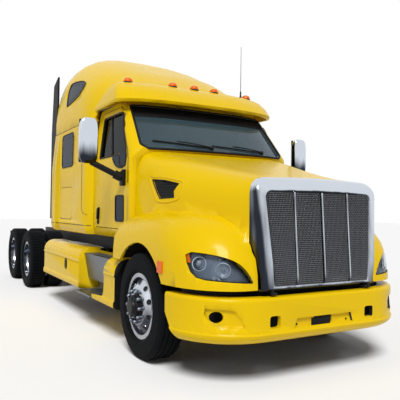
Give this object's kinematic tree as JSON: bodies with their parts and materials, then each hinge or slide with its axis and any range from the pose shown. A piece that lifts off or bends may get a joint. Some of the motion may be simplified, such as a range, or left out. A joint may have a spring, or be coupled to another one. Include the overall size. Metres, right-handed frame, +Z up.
{
  "type": "semi truck tractor unit",
  "caption": "Conventional highway tractor with a high-roof sleeper, tilting hood, opening doors, steered front wheels, tandem drive axles and a fifth wheel.",
  "frame": {"origin": "on the ground under the middle of the part's box", "axes": "+X forward, +Y to the driver's left, +Z up"},
  "size_m": [8.33, 3.09, 3.755],
  "materials": {
    "paint": "gloss",
    "chassis": "satin",
    "castings": "matte",
    "aluminium": "polished",
    "chrome": "mirror",
    "mesh": "satin",
    "tyre": "matte",
    "clear_glass": "gloss",
    "dark_glass": "gloss",
    "lamp": "gloss",
    "amber": "gloss",
    "red": "gloss",
    "black_plastic": "matte",
    "interior": "matte",
    "cloth": "woven"
  },
  "bodies": {
    "chassis": {"frame": "chassis", "air_dam": "black_plastic", "powertrain": "castings", "front_axle": "chassis", "rear_axles": "chassis", "suspension": "chassis", "fuel_tanks": "aluminium", "side_fairings": "paint", "steps": "aluminium", "bumper": "paint", "cab_shell": "paint", "cab_floor": "interior", "sleeper_sides": "paint", "sleeper_back": "paint", "roof": "paint", "visor": "paint", "windscreen": "clear_glass", "sleeper_glass": "dark_glass", "rear_extenders": "black_plastic", "roof_lamps": "amber", "cab_fittings": "black_plastic", "dash": "interior", "seats": "cloth", "bunk": "cloth", "bunk_box": "interior", "fifth_wheel_base": "chassis", "mud_guards": "black_plastic", "tail_lamps": "red"},
    "fifth_wheel": {"fifth_wheel_plate": "castings"},
    "hood": {"hood": "paint", "grille_surround": "chrome", "grille": "mesh", "headlamps": "lamp", "arch_liners": "black_plastic", "hood_trim": "black_plastic"},
    "door_right": {"door_right": "paint", "door_glass_right": "clear_glass", "mirror_right": "chrome"},
    "door_left": {"door_left": "paint", "door_glass_left": "clear_glass", "mirror_left": "chrome"},
    "luggage_door_right": {"luggage_door_right": "paint"},
    "luggage_door_left": {"luggage_door_left": "paint"},
    "steer_right": {"knuckle_right": "chassis"},
    "steer_left": {"knuckle_left": "chassis"},
    "tie_rod": {"tie_rod": "chassis"},
    "wheel_front_right": {"tyre_front_right": "tyre", "rim_front_right": "aluminium"},
    "wheel_front_left": {"tyre_front_left": "tyre", "rim_front_left": "aluminium"},
    "wheel_drive1_right": {"tyres_drive1_right": "tyre", "rims_drive1_right": "aluminium"},
    "wheel_drive1_left": {"tyres_drive1_left": "tyre", "rims_drive1_left": "aluminium"},
    "wheel_drive2_right": {"tyres_drive2_right": "tyre", "rims_drive2_right": "aluminium"},
    "wheel_drive2_left": {"tyres_drive2_left": "tyre", "rims_drive2_left": "aluminium"}
  },
  "joints": [
    {"name": "hood_tilt", "type": "hinge", "parent": "chassis", "child": "hood", "pos_m": [4.131, 0, 0.752], "axis": [0, 1, 0], "range_deg": [0, 75]},
    {"name": "door_right_swing", "type": "hinge", "parent": "chassis", "child": "door_right", "pos_m": [2.257, -1.063, 1.6], "axis": [0, 0, 1], "range_deg": [0, 70]},
    {"name": "door_left_swing", "type": "hinge", "parent": "chassis", "child": "door_left", "pos_m": [2.257, 1.063, 1.6], "axis": [0, 0, -1], "range_deg": [0, 70]},
    {"name": "luggage_door_right_swing", "type": "hinge", "parent": "chassis", "child": "luggage_door_right", "pos_m": [0.457, -1.143, 1.49], "axis": [0, 0, 1], "range_deg": [0, 85]},
    {"name": "luggage_door_left_swing", "type": "hinge", "parent": "chassis", "child": "luggage_door_left", "pos_m": [0.457, 1.143, 1.49], "axis": [0, 0, -1], "range_deg": [0, 85]},
    {"name": "steer_left_turn", "type": "hinge", "parent": "chassis", "child": "steer_left", "pos_m": [2.895, 0.89, 0.5], "axis": [0, 0, 1], "range_deg": [-38, 38]},
    {"name": "steer_right_turn", "type": "hinge", "parent": "chassis", "child": "steer_right", "pos_m": [2.895, -0.89, 0.5], "axis": [0, 0, 1], "range_deg": [-38, 38]},
    {"name": "tie_rod_pivot", "type": "hinge", "parent": "steer_left", "child": "tie_rod", "pos_m": [2.705, 0.89, 0.392], "axis": [0, 0, 1], "range_deg": [-38, 38]},
    {"name": "fifth_wheel_pitch", "type": "hinge", "parent": "chassis", "child": "fifth_wheel", "pos_m": [-2.805, 0, 1.115], "axis": [0, 1, 0], "range_deg": [-12, 12]},
    {"name": "wheel_front_right_spin", "type": "hinge", "parent": "steer_right", "child": "wheel_front_right", "pos_m": [2.895, -1.05, 0.5], "axis": [0, 1, 0], "continuous": true},
    {"name": "wheel_front_left_spin", "type": "hinge", "parent": "steer_left", "child": "wheel_front_left", "pos_m": [2.895, 1.05, 0.5], "axis": [0, 1, 0], "continuous": true},
    {"name": "wheel_drive1_right_spin", "type": "hinge", "parent": "chassis", "child": "wheel_drive1_right", "pos_m": [-2.205, -0.905, 0.5], "axis": [0, 1, 0], "continuous": true},
    {"name": "wheel_drive1_left_spin", "type": "hinge", "parent": "chassis", "child": "wheel_drive1_left", "pos_m": [-2.205, 0.905, 0.5], "axis": [0, 1, 0], "continuous": true},
    {"name": "wheel_drive2_right_spin", "type": "hinge", "parent": "chassis", "child": "wheel_drive2_right", "pos_m": [-3.525, -0.905, 0.5], "axis": [0, 1, 0], "continuous": true},
    {"name": "wheel_drive2_left_spin", "type": "hinge", "parent": "chassis", "child": "wheel_drive2_left", "pos_m": [-3.525, 0.905, 0.5], "axis": [0, 1, 0], "continuous": true}
  ],
  "couplings": [
    {"joint": "steer_right_turn", "follows": "steer_left_turn", "ratio": 1},
    {"joint": "tie_rod_pivot", "follows": "steer_left_turn", "ratio": -1}
  ]
}
